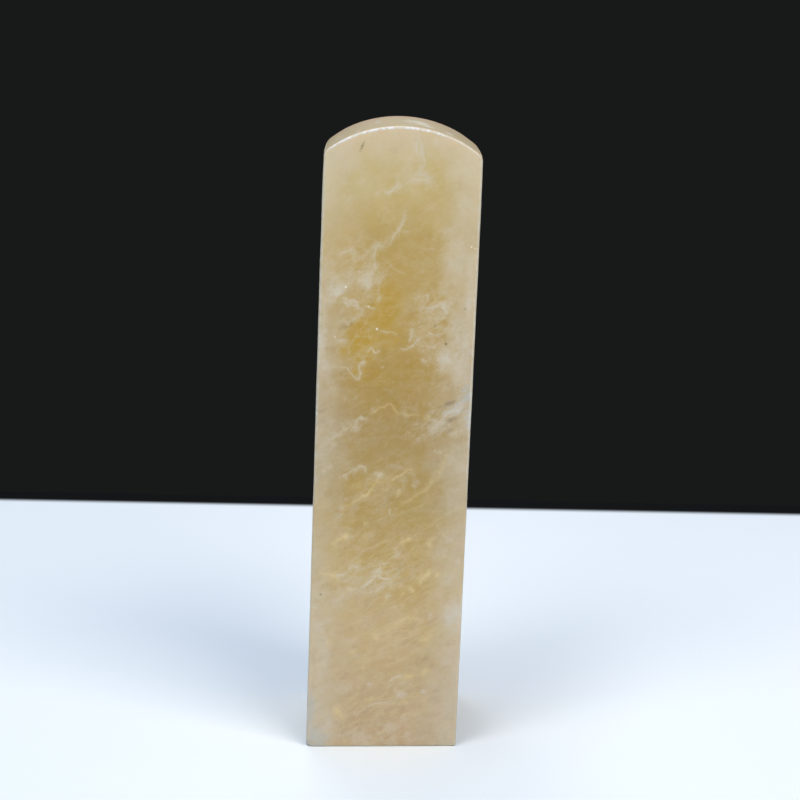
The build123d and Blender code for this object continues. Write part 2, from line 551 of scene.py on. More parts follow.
# %% Place the soft ribbons of the front
SOFT_RIBBONS = {
    "top, fall": (0.4, 0.25, [(420, 134), (419, 142), (421, 150), (423, 160), (424, 168)]),
    "top, foot": (0.6, 0.5, [(424, 168), (427, 176), (431, 182), (429, 188)]),
    "upper bend, under": (0.4, 0.35, [(384, 194), (391, 190), (398, 187), (406, 185)]),
    "beside neck": (0.45, 0.35, [(392, 236), (384, 244), (376, 249), (372, 258)]),
    "left of neck": (0.3, 0.5, [(338, 257), (341, 254), (345, 252), (350, 250), (356, 251)]),
    "slope": (0.16, 0.17, [(383, 258), (390, 264), (395, 270), (401, 272), (408, 275)]),
    "under neck": (0.55, 0.75, [(366, 276), (370, 274), (374, 275)]),
    "under neck, band": (0.5, 0.55, [(352, 278), (362, 279), (368, 283), (374, 284)]),
    "under neck, rise": (0.4, 0.45, [(374, 284), (380, 278), (379, 271)]),
    "left streak": (0.3, 0.6, [(329, 290), (331, 285), (333, 280), (335, 275)]),
    "white speck's patch": (0.8, 0.9, [(331, 297), (337, 293), (342, 290)]),
    "white speck's tail": (0.18, 0.55, [(346, 287), (350, 283), (354, 279)]),
    "left edge rise": (0.4, 0.55, [(320, 299), (328, 301), (333, 297)]),
    "left wisp": (0.3, 0.7, [(342, 298), (349, 302), (355, 301), (357, 306), (359, 310), (365, 309)]),
    "left wisp, down": (0.35, 0.65, [(359, 310), (358, 315), (354, 319), (348, 322), (342, 321)]),
    "right, upper": (0.28, 0.5, [(413, 299), (420, 297), (425, 296)]),
    "right, upper dash": (0.3, 0.9, [(424, 296), (429, 295)]),
    "right, lower": (0.3, 0.7, [(418, 308), (428, 308), (435, 306), (442, 302)]),
    "right, drop": (0.5, 0.65, [(442, 302), (445, 308), (446, 315)]),
    "right, patch": (0.9, 0.55, [(434, 315), (440, 316), (446, 315)]),
    "right, streak": (0.3, 0.4, [(447, 320), (454, 321)]),
    "right slope": (0.45, 0.5, [(448, 265), (458, 260), (470, 258), (475, 252)]),
    "right slope, upper": (0.3, 0.35, [(443, 234), (451, 229)]),
    "left of hook": (0.3, 0.4, [(333, 341), (340, 340), (348, 342)]),
    "left fall": (0.25, 0.4, [(336, 328), (335, 332), (335, 338)]),
    "hook, left": (0.6, 0.5, [(322, 369), (331, 366)]),
    "hook, below": (0.6, 0.45, [(326, 382), (334, 378)]),
    "hook, top": (0.35, 0.7, [(360, 362), (366, 361)]),
    "right milk, dash": (0.3, 0.8, [(437, 361), (440, 359)]),
    "right milk, low": (0.35, 0.45, [(436, 372), (444, 366), (447, 360)]),
    "right milk, streak": (0.35, 0.5, [(463, 346), (468, 340)]),
    "right of hook": (0.25, 0.5, [(422, 360), (425, 359)]),
    "broad fall": (0.5, 0.5, [(357, 421), (355, 427), (354, 433)]),
    "broad fall, left": (0.45, 0.5, [(354, 424), (345, 429), (334, 437), (322, 445)]),
    "broad rise": (0.6, 0.5, [(427, 430), (436, 427), (440, 423), (447, 413), (453, 408)]),
    "right wisp": (0.4, 0.5, [(448, 436), (458, 432), (466, 428)]),
    "cloud, band": (0.45, 0.6, [(440, 417), (450, 412), (458, 408), (466, 405)]),
    "left dash, upper": (0.35, 0.5, [(330, 446), (338, 447)]),
    "left rise, upper": (0.35, 0.4, [(321, 471), (327, 468), (333, 465)]),
    "left rise, lower": (0.3, 0.4, [(334, 524), (339, 516), (345, 514)]),
    "arch's knot": (0.3, 0.6, [(343, 476), (347, 475)]),
    "ribbon's knot": (0.3, 0.4, [(339, 508), (343, 506)]),
    "comma's neighbour": (0.35, 0.5, [(413, 487), (415, 486)]),
    "dot under ribbon": (0.35, 0.45, [(389, 511), (391, 511)]),
    "star": (0.4, 0.5, [(375, 575), (377, 571), (379, 568)]),
    "right fleck": (0.4, 0.5, [(455, 561), (461, 562)]),
    "right dot": (0.4, 0.6, [(428, 615), (432, 615)]),
    "right edge fleck": (0.5, 0.4, [(455, 614), (460, 616)]),
    "post under star": (0.25, 0.4, [(389, 593), (388, 600)]),
    "lower dash": (0.28, 0.5, [(367, 683), (373, 685)]),
    "lower left": (0.5, 0.35, [(334, 690), (346, 687)]),
    "lower knot": (0.34, 0.7, [(397, 692), (401, 694), (407, 693)]),
    "lower post": (0.3, 0.5, [(424, 689), (424, 694)]),
    "low drift": (0.4, 0.4, [(400, 717), (409, 720)]),
    "bottom": (0.6, 0.35, [(352, 736), (362, 738), (373, 737)]),
}
print("soft ribbons:", len(SOFT_RIBBONS))

# %% Place the straw-coloured flecks of the front
STRAW_FLECKS = {
    "long vein": (0.16, 0.6, [(368, 416), (374, 411), (380, 408), (385, 406), (389, 404), (393, 407),
                              (397, 412), (401, 414)]),
    "long vein, fall": (0.13, 0.34, [(400, 413), (408, 415), (417, 415), (427, 416)]),
    "long vein, end": (0.14, 0.4, [(422, 420), (427, 418), (430, 414)]),
    "middle ribbon": (0.2, 0.55, [(383, 482), (376, 483), (372, 489), (367, 496), (362, 497), (357, 500),
                                  (349, 505), (342, 508)]),
    "middle dash": (0.14, 0.5, [(389, 482), (394, 478), (401, 475), (408, 470), (414, 469)]),
    "middle comma": (0.16, 0.45, [(397, 489), (400, 491), (397, 496), (394, 498)]),
    "right fall": (0.24, 0.4, [(448, 454), (445, 460), (442, 466), (440, 473), (438, 478), (432, 482),
                               (427, 489), (420, 493), (413, 498), (406, 502), (400, 506)]),
    "first": (0.22, 0.6, [(363, 525), (367, 522)]),
    "left rise": (0.28, 0.8, [(331, 545), (339, 540), (345, 536), (347, 533)]),
    "middle": (0.2, 0.6, [(399, 544), (406, 540), (412, 537)]),
    "right rise": (0.25, 0.8, [(427, 547), (430, 543), (435, 537)]),
    "right dot": (0.3, 0.6, [(442, 535), (444, 534)]),
    "long rise": (0.24, 1.0, [(418, 585), (424, 577), (428, 573), (431, 569)]),
    "long rise, foot": (0.3, 0.7, [(410, 588), (415, 591)]),
    "right of rise": (0.3, 0.6, [(434, 573), (440, 575)]),
    "left arch": (0.28, 0.8, [(317, 573), (330, 575), (336, 578), (338, 584)]),
    "left, small": (0.25, 0.6, [(347, 590), (352, 587)]),
    "lower left edge": (0.35, 0.5, [(326, 643), (333, 643)]),
    "vee": (0.25, 0.9, [(373, 639), (376, 636), (379, 640)]),
    "lower left": (0.3, 0.5, [(349, 652), (357, 651)]),
    "chain": (0.35, 0.6, [(384, 629), (389, 627), (398, 622), (403, 620), (415, 618), (424, 620)]),
    "chain, below": (0.3, 0.5, [(385, 635), (391, 633)]),
    "lower right": (0.4, 0.6, [(418, 640), (426, 639), (432, 635)]),
    "low middle": (0.35, 0.5, [(360, 668), (365, 667)]),
    "sprig's end": (0.3, 0.7, [(403, 675), (409, 676), (414, 675)]),
    "sprig's neighbour": (0.3, 0.9, [(422, 676), (425, 671), (429, 668)]),
    "thick fleck": (0.42, 1.0, [(332, 709), (338, 710), (340, 715), (344, 720)]),
}
print("straw flecks:", len(STRAW_FLECKS))

# %% [markdown]
# ## Veins on the sides that the photograph doesn't show
# The other three sides, the crown and the foot are cut from the same stone,
# so they get veins of the same kind. Each is a short walk that mostly rises
# to the right, as the front's do, and bends a little at every step. The draw
# is seeded, so the stone is the same each time.

# %% Walk veins round the rest of the stone
WALK_STEP = 1.1
RISE_ANGLE = math.radians(32)
FRONT_KEPT_CLEAR = 13.0
BELOW_FRONT = -1.0
ABOVE_CROWN_SHARE = 1.2
HEADING_SPREAD = 0.35
HEADING_DRIFT = 0.38
FEWEST_STEPS = 3
SEED = 58
# Each sort: how many are tried, then the least and greatest length, half width and strength,
# and the gap kept between them. Lengths are in millimetres.
WALKS = {
    "threads": (260, (4, 16), (0.11, 0.26), (0.4, 0.95), 2.4),
    "ribbons": (110, (4, 11), (0.25, 0.8), (0.25, 0.5), 4.0),
    "flecks": (190, (2, 6), (0.18, 0.34), (0.4, 0.85), 2.4),
}


def walked_lines(count, length, half_width, strength, kept_apart):
    """Seeded walks on the skin map: cumulative sums of steps whose heading drifts.

    A walk that enters the front, or comes too near an earlier one, is left out.
    """
    lines = []
    taken = np.zeros((0, 2))
    stone_length = BAR_LENGTH / MM
    for _ in range(count):
        round_start = source.uniform(-HALF_ROUND, HALF_ROUND)
        along_start = source.uniform(-HALF_ROUND / 2, stone_length * ABOVE_CROWN_SHARE)
        start = np.array([round_start, along_start])
        steps = max(FEWEST_STEPS, int(source.uniform(*length) / WALK_STEP))
        first_heading = RISE_ANGLE + source.normal(0, HEADING_SPREAD)
        heading = first_heading + np.cumsum(source.normal(0, HEADING_DRIFT, steps))
        moves = WALK_STEP * np.stack([np.cos(heading), np.sin(heading)], axis=1)
        line = start + np.cumsum(moves, axis=0)
        thick = source.uniform(*half_width)
        strong = source.uniform(*strength)
        on_front_face = np.any((np.abs(line[:, 0]) < FRONT_KEPT_CLEAR)
                               & (line[:, 1] > BELOW_FRONT) & (line[:, 1] < stone_length))
        gaps = np.linalg.norm(taken[:, None] - line[None], axis=2)
        if on_front_face or (gaps < kept_apart).any():
            continue
        taken = np.concatenate([taken, line])
        lines.append((thick, strong, line))
    return lines


source = np.random.default_rng(SEED)
walked = {sort: walked_lines(*walk) for sort, walk in WALKS.items()}
print("walked veins:", {sort: len(lines) for sort, lines in walked.items()})

# %% [markdown]
# ## From lines to fields
# Each line is smoothed and compared with every vertex near it. What a vertex
# keeps is the signed distance in half widths, how strong the vein is there,
# and a tint. The strength fades at both ends of a vein, as a crack closes,
# and dies out away from it, so the place where the nearest vein changes is
# never seen.

# %% Turn lines into vertex fields
SMOOTH_STEPS = 5
CLEAR_FROM = 0.5
CLEAR_BY = 0.95
CLEAR_FROM_WIDTHS = 2
CLEAR_BY_WIDTHS = 3
NEAREST_AT_FIRST = CLEAR_BY * 4
NO_VEIN = CLEAR_BY * 10
GOLDEN_SHARE = 0.618


def smooth_line(points):
    """A Catmull-Rom line: each cubic leaves its point along the chord of that point's neighbours."""
    points = np.asarray(points, float)
    padded = np.vstack([2 * points[0] - points[1], points, 2 * points[-1] - points[-2]])
    before, start, end, after = padded[:-3], padded[1:-2], padded[2:-1], padded[3:]
    t = np.linspace(0, 1, SMOOTH_STEPS, endpoint=False)[None, :, None]
    before, start, end, after = (part[:, None] for part in (before, start, end, after))
    curve = 0.5 * (2 * start + (end - before) * t
                   + (2 * before - 5 * start + 4 * end - after) * t**2
                   + (3 * start - before - 3 * end + after) * t**3)
    return np.vstack([curve.reshape(-1, 2), points[-1:]])


def offset_on_map(place):
    """How far every vertex lies from a place on the skin map, the shorter way round the bar."""
    offset = skin_places - place
    offset[:, 0] = (offset[:, 0] + HALF_ROUND) % (2 * HALF_ROUND) - HALF_ROUND
    return offset


def nearest_on_line(start, run, offset):
    """Distance to the nearest place of a line, the side it lies on and the share travelled there.

    The nearest place on a segment is start + t * run with t = dot(gap, run) / dot(run, run),
    held to 0..1, and the side is the sign of the cross product of the run and the gap.
    """
    gap = offset[:, None] - start[None]
    share = np.clip((gap * run).sum(axis=2) / (run**2).sum(axis=1), 0, 1)
    miss = gap - share[..., None] * run
    distance = np.linalg.norm(miss, axis=2)
    best = distance.argmin(axis=1)
    rows = np.arange(len(offset))
    side = np.sign(run[best, 0] * gap[rows, best, 1] - run[best, 1] * gap[rows, best, 0])
    return distance[rows, best], side, (best + share[rows, best]) / len(run)


def vein_field(lines):
    """For every vertex: signed distance in half widths, strength and tint of its nearest vein."""
    field = np.zeros((len(skin_places), 3))
    nearest = np.full(len(skin_places), NEAREST_AT_FIRST)
    field[:, 0] = NO_VEIN
    for number, (half_width, strength, points) in enumerate(lines):
        line = smooth_line(points)
        middle = line.mean(axis=0)
        clear_from = max(CLEAR_FROM, CLEAR_FROM_WIDTHS * half_width)
        clear_by = max(CLEAR_BY, CLEAR_BY_WIDTHS * half_width)
        reach = np.abs(line - middle).max(axis=0) + clear_by
        offset = offset_on_map(middle)
        near = np.flatnonzero((np.abs(offset) < reach).all(axis=1))
        if not len(near):
            continue
        distance, side, travelled = nearest_on_line(
            (line - middle)[:-1], np.diff(line, axis=0), offset[near])
        taper = np.sqrt(np.clip(4 * travelled * (1 - travelled), 0, 1))
        closer = distance < nearest[near]
        near, distance, side, taper = (part[closer] for part in (near, distance, side, taper))
        clear = 1 - smoothstep(clear_from, clear_by, distance)
        nearest[near] = distance
        field[near, 0] = side * distance / half_width
        field[near, 1] = strength * taper * clear
        field[near, 2] = (number * GOLDEN_SHARE) % 1
    return field


def on_map(veins):
    """Listed veins with their pixels turned into places on the skin map."""
    return [(half_width, strength, on_front(pixels))
            for half_width, strength, pixels in veins.values()]


FRONT_VEINS = {"threads": BRIGHT_THREADS, "ribbons": SOFT_RIBBONS, "flecks": STRAW_FLECKS}
fields = {sort: vein_field(on_map(veins) + walked[sort]) for sort, veins in FRONT_VEINS.items()}
print("share of vertices near a vein:",
      {sort: round(float((field[:, 1] > 0).mean()), 3) for sort, field in fields.items()})

# %% [markdown]
# ## Cloudy zones
# Between the veins the stone changes colour in clouds: a honey-gold core,
# milky drifts, a blue-grey cloud at the right edge and a grey, glassy corner
# at the foot. Each is a soft ellipse on the skin map. The shader breaks its
# edge up with noise later, so no ellipse is seen.

# %% Place the clouds of the front
PIXELS_PER_MM = 6.1
# Each cloud: the pixel of its middle, half its width and height in pixels, its tilt in degrees
# and how strong it is.
MILK = {
    "right of top": (464, 184, 17, 46, 0, 0.5),
    "top right": (460, 170, 18, 18, -30, 0.68),
    "under the rim": (436, 141, 4, 6, 0, 0.6),
    "left shoulder": (337, 289, 15, 8, 30, 0.55),
    "under neck": (368, 278, 12, 7, -10, 0.5),
    "left edge, middle": (322, 342, 6, 40, 0, 0.72),
    "left edge, above": (324, 300, 6, 12, 0, 0.4),
    "core's drop": (379, 299, 2.5, 5, -15, 0.5),
    "right of core": (444, 309, 5, 10, 0, 0.5),
    "right slope": (460, 260, 18, 5, 18, 0.4),
    "right drift, upper": (454, 256, 14, 42, 0, 0.6),
    "right, middle": (446, 358, 9, 14, 20, 0.75),
    "right drift": (460, 350, 14, 34, 0, 0.64),
    "right of core, low": (425, 353, 13, 10, 0, 0.28),
    "under right drift": (436, 386, 20, 8, 0, 0.24),
    "right of middle": (432, 490, 20, 14, 0, 0.16),
    "right edge, upper": (470, 292, 7, 36, 0, 0.6),
    "right edge": (466, 440, 5, 26, 0, 0.22),
    "left edge, below": (323, 455, 8, 24, 0, 0.35),
    "below hook": (328, 381, 6, 5, 20, 0.45),
    "long vein's knot": (361, 418, 3.5, 2.5, 0, 0.35),
    "star": (378, 572, 4, 4, 0, 0.2),
    "lower right": (456, 612, 14, 20, 0, 0.72),
    "foot, left": (328, 728, 10, 12, 0, 0.4),
    "lower left": (322, 650, 9, 40, 0, 0.4),
}
GOLD = {
    "core": (384, 310, 16, 28, -12, 1.0),
    "core, below": (392, 338, 18, 12, 0, 0.75),
    "core, above": (396, 272, 14, 24, -20, 0.22),
    "core, left": (364, 338, 18, 28, 0, 1.0),
    "right of top": (425, 208, 18, 22, 0, 0.2),
    "top streak": (423, 150, 5, 15, 10, 0.3),
    "top middle": (399, 186, 14, 24, 0, 0.25),
    "hook's inside": (355, 371, 4, 5, 0, 0.9),
    "hook's left": (344, 350, 9, 12, 0, 0.55),
    "under hook": (372, 376, 26, 12, -10, 0.4),
    "middle": (370, 484, 28, 14, 10, 0.42),
    "star's left": (350, 572, 24, 10, 15, 0.5),
    "star's right": (388, 572, 24, 14, 0, 0.32),
    "lower right": (425, 634, 22, 12, 25, 0.3),
    "left of neck": (342, 242, 26, 34, 0, 0.46),
    "left edge, low": (322, 520, 14, 60, 0, 0.25),
}
GREY = {
    "cloud": (458, 405, 21, 7, 42, 0.78),
    "cloud, top": (467, 395, 7, 11, 0, 0.88),
    "cloud, right": (468, 417, 4, 14, 0, 0.8),
    "right edge, above": (470, 365, 6, 32, 0, 0.4),
    "foot corner": (309, 742, 22, 17, 35, 1.0),
    "foot corner, above": (309, 710, 7, 26, 0, 0.8),
    "left edge": (318, 470, 5, 24, 0, 0.3),
}
BROWN = {
    "top streak": (408, 170, 9, 18, 12, 0.2),
    "left edge": (321, 414, 8, 12, 0, 0.4),
    "middle": (384, 492, 28, 14, 10, 0.25),
    "cloud, upper": (447, 404, 9, 3, 25, 0.9),
    "cloud, lower": (460, 411, 8, 2.5, 30, 0.9),
    "cloud, foot": (451, 420, 8, 2.5, 25, 0.8),
    "under cloud": (447, 427, 8, 8, 0, 0.4),
    "hook's left": (343, 358, 8, 8, 0, 0.28),
    "hook's right": (360, 386, 14, 4, -20, 0.3),
    "left of core": (346, 326, 12, 15, 0, 0.34),
    "core": (372, 302, 3, 9, 0, 0.35),
    "lower right": (437, 694, 7, 7, 0, 0.3),
    "lower left": (343, 677, 5, 1.5, 30, 0.5),
}
BUSY = {
    "left of neck": (355, 272, 34, 30, 20, 0.7),
    "core and hook": (344, 344, 26, 34, 0, 0.5),
    "right of core": (438, 318, 26, 28, 0, 0.75),
    "right drift": (455, 352, 18, 34, 0, 0.8),
    "top right": (425, 165, 22, 30, 0, 0.5),
    "under cloud": (440, 425, 34, 12, 20, 0.5),
    "middle": (362, 486, 34, 20, 20, 0.25),
    "star": (362, 578, 44, 18, 10, 0.7),
    "bottom": (370, 735, 60, 14, 0, 0.5),
}
FLECKED = {
    "middle": (380, 500, 60, 30, 20, 0.3),
    "upper": (390, 550, 60, 26, 15, 0.6),
    "star": (395, 595, 60, 26, 10, 0.8),
    "lower": (400, 640, 50, 26, 20, 0.9),
    "lowest": (390, 700, 60, 28, 15, 0.9),
}
print("clouds on the front:", len(MILK) + len(GOLD) + len(GREY) + len(BROWN))

# %% Place the pale patches of the crown
CROWN_PIXEL_ROW = 130
# Each patch: its pixel column, how many millimetres it lies behind the front rim, half its width
# and length in pixels, its tilt in degrees and how strong it is.
CROWN_PATCHES = {
    "broad patch": (423, 10.0, 8, 34, 10, 1.0),
    "patch's left": (412, 12.0, 8, 30, 0, 0.5),
    "streak": (450, 6.0, 4, 16, 0, 0.8),
    "tick": (359, 4.0, 1.5, 12, 0, 0.9),
    "tick's right": (378, 14.0, 3, 20, 0, 0.6),
    "left end": (340, 7.0, 6, 20, 0, 0.25),
}
print("pale patches on the crown:", len(CROWN_PATCHES))


# %% Turn clouds into vertex fields
CLOUD_EDGE = 1.6
CLOUD_HEART = 0.2
SIDE_CLOUD_SHAPES = (0.5, 2.2)
SIDE_CLOUD_TILTS = (0, 40)
# Each sort: the front's clouds, how many are drawn for the sides, and the least and greatest
# half width in millimetres and strength.
CLOUD_SORTS = {
    "milk": (MILK, 34, (1.0, 4.5), (0.3, 0.7)),
    "gold": (GOLD, 26, (2.0, 7.0), (0.3, 0.9)),
    "grey": (GREY, 6, (1.5, 4.0), (0.5, 0.9)),
    "brown": (BROWN, 20, (0.8, 2.5), (0.3, 0.7)),
    "busy": (BUSY, 22, (3.0, 6.0), (0.5, 1.0)),
    "flecked": (FLECKED, 18, (3.0, 6.0), (0.4, 1.0)),
}


def cloud_field(clouds):
    """The largest soft ellipse at each vertex: amount * smoothstep of its elliptical radius."""
    field = np.zeros(len(skin_places))
    for across, along, wide, tall, tilt, amount in clouds:
        offset = offset_on_map((across, along))
        turn = math.radians(tilt)
        one = (offset[:, 0] * math.cos(turn) + offset[:, 1] * math.sin(turn)) / wide
        two = (offset[:, 1] * math.cos(turn) - offset[:, 0] * math.sin(turn)) / tall
        field = np.maximum(field, amount * smoothstep(CLOUD_EDGE, CLOUD_HEART, np.hypot(one, two)))
    return field


def in_millimetres(across, along, wide, tall, tilt, amount):
    """A cloud on the skin map, with its half width and height turned from pixels to millimetres."""
    return across, along, wide / PIXELS_PER_MM, tall / PIXELS_PER_MM, tilt, amount


def clouds_on_map(clouds):
    """Listed clouds of the front, as places and sizes on the skin map."""
    return [in_millimetres(*on_front([(x, y)])[0], *shape) for x, y, *shape in clouds.values()]


def drawn_clouds(count, size, amount):
    """Seeded clouds for the sides, clear of the front."""
    drawn = []
    for _ in range(count):
        wide = source.uniform(*size)
        tall = wide * source.uniform(*SIDE_CLOUD_SHAPES)
        margin = FRONT_KEPT_CLEAR + CLOUD_EDGE * wide
        across = source.uniform(margin, 2 * HALF_ROUND - margin)
        along = source.uniform(0, BAR_LENGTH / MM)
        tilt = source.uniform(*SIDE_CLOUD_TILTS)
        drawn.append((across, along, wide, tall, tilt, source.uniform(*amount)))
    return drawn


def patches_on_crown(patches):
    """Listed patches of the crown, set behind the arch at their pixel column."""
    placed = []
    for x, back, *shape in patches.values():
        across, _ = on_front([(x, CROWN_PIXEL_ROW)])[0]
        arch = (BAR_LENGTH - CROWN_RADIUS) / MM + math.sqrt((CROWN_RADIUS / MM) ** 2 - across**2)
        placed.append(in_millimetres(across, arch + back, *shape))
    return placed


cloud_fields = {sort: cloud_field(clouds_on_map(front) + drawn_clouds(*draw))
                for sort, (front, *draw) in CLOUD_SORTS.items()}
zones = np.stack([cloud_fields[sort] for sort in ("milk", "gold", "grey")], axis=1)
stains = np.stack([cloud_fields[sort] for sort in ("brown", "busy", "flecked")], axis=1)
patches = cloud_field(patches_on_crown(CROWN_PATCHES))
print("share of vertices in a cloud:",
      {sort: round(float((field > 0).mean()), 3) for sort, field in cloud_fields.items()})


# %% Mark the crown, its rims and the upright edges
CROWN_UP = (0.3, 0.75)
CROWN_AHEAD = (0.75, 0.2)
RIM_UP = (0.1, 0.3)
RIM_AHEAD = (0.3, 0.6)
UPRIGHT_TURNED = (0.1, 0.6)


def edge_masks(normals):
    """How far each vertex belongs to the crown, to a rim of the crown and to an upright edge.

    A rim is where the outward direction has a good part of both faces' directions.
    """
    up = normals @ ALONG
    ahead = np.abs(normals[:, 1])
    aside = np.abs(normals @ ACROSS)
    crown = smoothstep(*CROWN_UP, up) * smoothstep(*CROWN_AHEAD, ahead)
    rim = smoothstep(*RIM_UP, up) * smoothstep(*RIM_AHEAD, ahead)
    upright = smoothstep(*UPRIGHT_TURNED, 2 * aside * ahead)
    return np.stack([crown, rim, upright], axis=1)


# %% Store the fields on the stone
def store(piece, name, values):
    """One vector for every vertex, which a material reads by name."""
    attribute = piece.data.attributes.new(name, "FLOAT_VECTOR", "POINT")
    attribute.data.foreach_set("vector", np.ascontiguousarray(values, np.float32).ravel())


for sort, field in fields.items():
    store(stone, sort, field)
store(stone, "zones", zones)
store(stone, "stains", stains)
store(stone, "edges", edge_masks(skin_normals))
store(stone, "patches", np.repeat(patches[:, None], 3, axis=1))
print("attributes:", [attribute.name for attribute in stone.data.attributes])

# %% [markdown]
# ## Writing shaders as sums
# A node tree is hard to read as a list of links. The class below wraps a
# socket, so that an ordinary expression such as `1 - mask * 0.5` adds the
# Math nodes itself. Every other node comes from one method that takes the
# node's type, its settings and what goes into its sockets.

# %% A wire that can be added and multiplied
def arithmetic(operation, reflected=False):
    """An operator that adds one Math node. Reflected, the wire is the second of its two inputs."""
    def operator(wire, other):
        first, second = (other, wire) if reflected else (wire, other)
        return wire.maths(operation, first, second)
    return operator


class Wire:
    """An output socket that understands arithmetic."""

    def __init__(self, recipe, socket):
        self.recipe = recipe
        self.socket = socket

    def maths(self, operation, first, second=None):
        """A Math node with one or two inputs."""
        values = {0: first} if second is None else {0: first, 1: second}
        return self.recipe.add("ShaderNodeMath", {"operation": operation}, values)

    __add__ = arithmetic("ADD")
    __radd__ = arithmetic("ADD", reflected=True)
    __sub__ = arithmetic("SUBTRACT")
    __rsub__ = arithmetic("SUBTRACT", reflected=True)
    __mul__ = arithmetic("MULTIPLY")
    __rmul__ = arithmetic("MULTIPLY", reflected=True)
    __truediv__ = arithmetic("DIVIDE")
    __rtruediv__ = arithmetic("DIVIDE", reflected=True)
    at_most = arithmetic("MINIMUM")
    at_least = arithmetic("MAXIMUM")

    def __neg__(self):
        return self * -1.0

    def size(self):
        return self.maths("ABSOLUTE", self)

    def exponential(self):
        return self.maths("EXPONENT", self)

    def bell(self):
        """1 at zero, and falling off on both sides as exp(-x^2)."""
        return (-(self * self)).exponential()

    def lifted(self, share):
        """A mask squeezed upwards, so that it runs from a share to 1 and not from 0."""
        return self * (1 - share) + share

    def between(self, low, high):
        """Rises smoothly from 0 at low to 1 at high."""
        settings = {"interpolation_type": "SMOOTHSTEP"}
        values = {0: self, 1: low, 2: high, 3: 0.0, 4: 1.0}
        return self.recipe.add("ShaderNodeMapRange", settings, values)


class Recipe:
    """The node tree of one finish."""

    def __init__(self, tree):
        self.tree = tree
        tree.nodes.clear()

    def add(self, kind, settings=None, values=None, output=0):
        """One node: settings first, then its sockets, which take numbers, colours or wires."""
        node = self.tree.nodes.new(kind)
        for name, value in (settings or {}).items():
            if name == "stops":
                self.set_stops(node.color_ramp, value)
            else:
                setattr(node, name, value)
        for key, value in (values or {}).items():
            if isinstance(value, Wire):
                self.tree.links.new(value.socket, node.inputs[key])
            else:
                node.inputs[key].default_value = value
        return Wire(self, node.outputs[output]) if len(node.outputs) else None

    @staticmethod
    def set_stops(ramp, stops):
        """Colours along a ramp, each at its own position."""
        while len(ramp.elements) < len(stops):
            ramp.elements.new(1.0)
        for element, (position, colour) in zip(ramp.elements, stops):
            element.position = position
            element.color = colour

    def parts(self, wire):
        """The three numbers of a vector."""
        split = self.add("ShaderNodeSeparateXYZ", values={0: wire})
        outputs = split.socket.node.outputs
        return [Wire(self, outputs[axis]) for axis in range(3)]

    def stored(self, name):
        """A vector that the mesh carries, as its three numbers."""
        return self.parts(self.add("ShaderNodeAttribute", {"attribute_name": name}, output="Vector"))

    def mixed(self, factor, under, over):
        """Two colours laid over each other by a mask. The colour sockets are 6, 7 and, coming out, 2."""
        settings = {"data_type": "RGBA", "clamp_factor": True}
        return self.add("ShaderNodeMix", settings, {0: factor, 6: under, 7: over}, output=2)

    def noise(self, where, grain, detail, rough):
        """Cloudy noise about 0.5, whose lumps are about one grain wide in the units of where."""
        values = {"Vector": where, "Scale": 1.0 / grain, "Detail": detail, "Roughness": rough}
        return self.add("ShaderNodeTexNoise", {"normalize": True}, values)


def paint(red, green, blue):
    """A colour written as a screen shows it, 0 to 255, made linear by the inverse sRGB curve."""
    shares = np.array([red, green, blue]) / 255
    linear = np.where(shares <= 0.04045, shares / 12.92, ((shares + 0.055) / 1.055) ** 2.4)
    return (*(float(value) for value in linear), 1.0)


print("cream as a shader sees it:", [round(value, 3) for value in paint(203, 193, 158)])

# %% [markdown]
# ## The stone's finish
# Polished soapstone is cloudy, faintly translucent and waxed. Its colour is
# built as a stone is: a body colour that changes along the bar, clouds, wisps
# and fine sheets that slant through it, and then the veins on top. Near an
# upright edge light gets in from two sides, and that light is painted in as a
# milkier colour there.

# %% Name the colours of the stone
BODY_STOPS = [
    (0.0, paint(187, 160, 121)),
    (0.2, paint(196, 168, 115)),
    (0.3, paint(189, 158, 87)),
    (0.42, paint(173, 142, 66)),
    (0.53, paint(171, 141, 76)),
    (0.62, paint(179, 147, 75)),
    (0.72, paint(190, 161, 96)),
    (0.84, paint(189, 162, 98)),
    (0.92, paint(202, 181, 125)),
    (1.0, paint(214, 198, 166)),
]
GOLD_CORE = paint(189, 155, 68)
MILK_TOP = paint(215, 205, 180)
MILK_MIDDLE = paint(212, 203, 182)
MILK_LOW = paint(207, 199, 179)
CLOUD_GREY = paint(183, 180, 168)
CLOUD_WHITE = paint(201, 200, 193)
SMOKE_BROWN = paint(156, 134, 98)
DEEP_TAN = paint(166, 138, 88)
PINK_BLUSH = paint(200, 168, 134)
VEIN_CREAM = paint(206, 193, 162)
VEIN_WHITE = paint(212, 203, 178)
STRAW = paint(212, 191, 140)
FLECK_GOLD = paint(215, 190, 132)
# The crown's two colours are painted light: paler than the body, and pinker towards the back.
CROWN_PAINTED_LIGHT = paint(209, 195, 161)
CROWN_PINK_LIT = paint(206, 182, 156)
CROWN_WHITE = paint(234, 229, 215)
# The white of the crown's front rim is a painted highlight, and the darker rim colour under it is painted
# shade.
RIM_HIGHLIGHT = paint(207, 212, 217)
RIM_SHADE = paint(158, 157, 149)
# A painted sheen on the upper part of the upright edges.
EDGE_SHEEN = paint(216, 211, 195)
GROUND_PALE = paint(206, 196, 172)
SPECK_DARK = paint(114, 100, 74)
SPECK_WHITE = paint(240, 234, 216)

